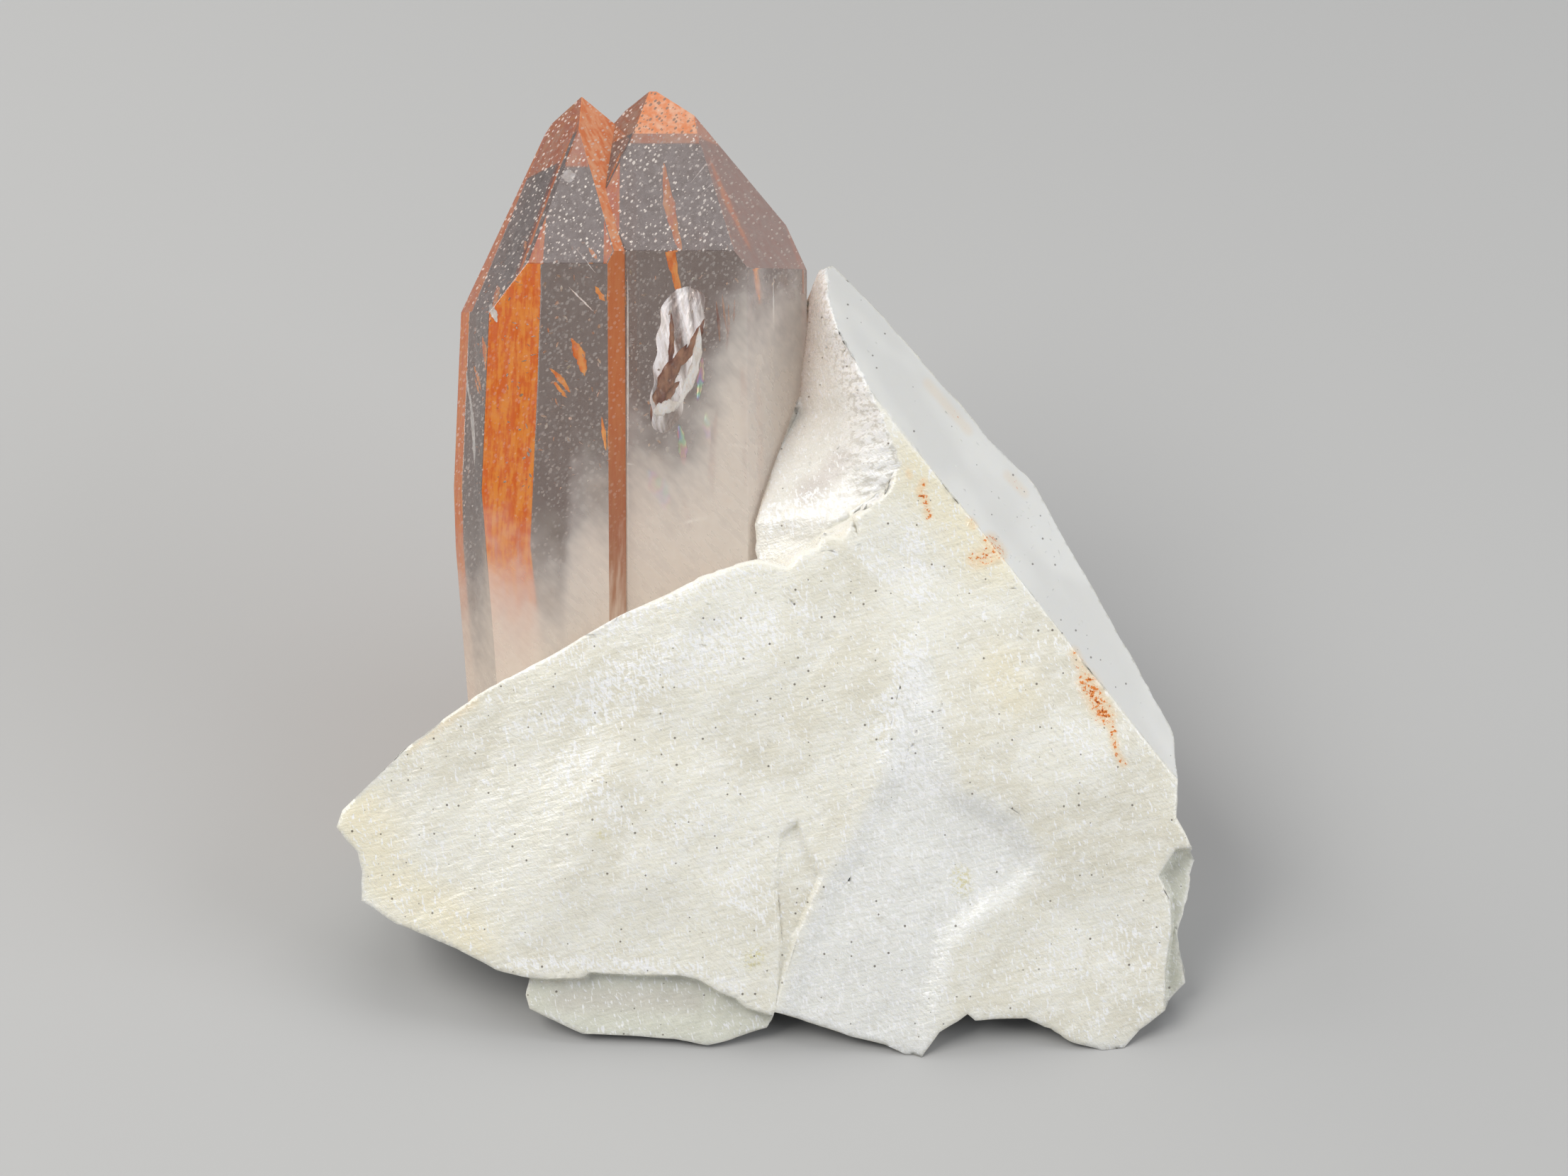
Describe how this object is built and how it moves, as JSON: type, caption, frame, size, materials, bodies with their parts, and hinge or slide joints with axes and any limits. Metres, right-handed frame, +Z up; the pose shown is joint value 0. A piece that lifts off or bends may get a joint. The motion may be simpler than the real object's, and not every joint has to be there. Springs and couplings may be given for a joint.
{
  "type": "quartz crystal specimen with iron oxide",
  "caption": "Broken milky quartz crystal with intergrown clear quartz crystals tinted by an iron-oxide film, leaning back on its flat broken base.",
  "frame": {"origin": "centre of the bounding box at the plane the specimen rests on", "axes": "+Z up, -Y toward the viewer who faces the broken front, +X to that viewer's right"},
  "size_m": [0.0676, 0.0594, 0.052],
  "materials": {
    "clear_quartz": "polished natural crystal faces, orange iron-oxide film",
    "milky_quartz": "translucent white quartz with waxy broken faces"
  },
  "bodies": {
    "root": {"clear_crystal_pair": "clear_quartz", "milky_quartz": "milky_quartz"}
  },
  "joints": []
}
